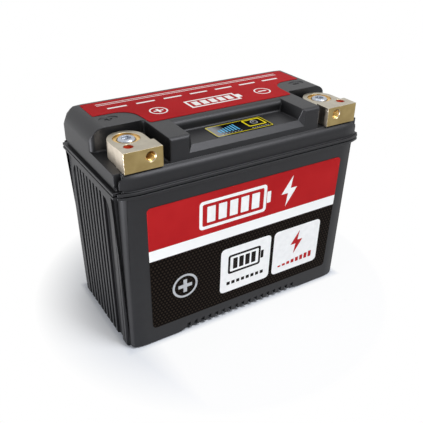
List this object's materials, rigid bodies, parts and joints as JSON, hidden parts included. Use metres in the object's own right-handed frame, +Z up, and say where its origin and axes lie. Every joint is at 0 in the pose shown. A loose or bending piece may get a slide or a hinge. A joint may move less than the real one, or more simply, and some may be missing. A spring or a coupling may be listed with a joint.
{
  "type": "motorcycle battery",
  "caption": "Sealed lithium motorcycle starter battery: drafted case with ribbed ends, moulded lid with brass bolt terminals in corner pockets and a charge display with a test key.",
  "frame": {"origin": "bottom centre of the bounding box, on the surface the feet stand on", "axes": "+X along the length with the negative terminal at +X, -Y towards the terminals and the front label, +Z up"},
  "size_m": [0.165, 0.086, 0.13],
  "materials": {
    "case_plastic": "fine-grained dark grey moulding",
    "front_print": "printed film, red over dark",
    "top_print": "printed red film",
    "terminal_brass": "satin, lightly tarnished",
    "post_brass": "bright turned",
    "screw_steel": "plated steel",
    "plug_red": "moulded",
    "seal_rubber": "moulded",
    "overlay_print": "printed film",
    "key_print": "printed film over a rigid key",
    "lcd_plastic": "clear face",
    "board_green": "solder mask",
    "dome_steel": "spring steel",
    "cell_can": "sleeved can",
    "holder_plastic": "moulded",
    "pad_foam": "closed-cell foam",
    "busbar_copper": "rolled copper",
    "carrier_plastic": "moulded",
    "transistor_black": "moulded",
    "spreader_aluminium": "extruded",
    "wire_plastic": "insulated wire and connectors"
  },
  "bodies": {
    "battery": {"case": "case_plastic", "lid": "case_plastic", "front_label": "front_print", "top_label": "top_print", "positive_terminal": "terminal_brass", "negative_terminal": "terminal_brass", "positive_post": "post_brass", "negative_post": "post_brass", "positive_screw": "screw_steel", "negative_screw": "screw_steel", "positive_plug": "plug_red", "negative_plug": "plug_red", "positive_seal": "seal_rubber", "negative_seal": "seal_rubber", "display_overlay": "overlay_print", "lcd_module": "lcd_plastic", "indicator_board": "board_green", "button_dome": "dome_steel", "cell_1": "cell_can", "cell_2": "cell_can", "cell_3": "cell_can", "cell_4": "cell_can", "cell_5": "cell_can", "cell_6": "cell_can", "cell_7": "cell_can", "cell_8": "cell_can", "cell_9": "cell_can", "cell_10": "cell_can", "cell_11": "cell_can", "cell_12": "cell_can", "lower_cell_holder": "holder_plastic", "upper_cell_holder": "holder_plastic", "left_end_pad": "pad_foam", "right_end_pad": "pad_foam", "base_pad": "pad_foam", "busbar_positive": "busbar_copper", "busbar_middle": "busbar_copper", "busbar_negative": "busbar_copper", "busbar_low_left": "busbar_copper", "busbar_low_right": "busbar_copper", "board_carrier": "carrier_plastic", "bms_board": "board_green", "mosfets": "transistor_black", "heat_spreader": "spreader_aluminium", "positive_strap": "busbar_copper", "negative_link": "busbar_copper", "negative_strap": "busbar_copper", "balance_harness": "wire_plastic", "display_cable": "wire_plastic"},
    "test_key": {"test_button": "key_print"}
  },
  "joints": [
    {"name": "test_key_press", "type": "slide", "parent": "battery", "child": "test_key", "axis": [0, 0, -1], "range_m": [0, 0.0004], "stiffness_N_per_m": 6000}
  ]
}
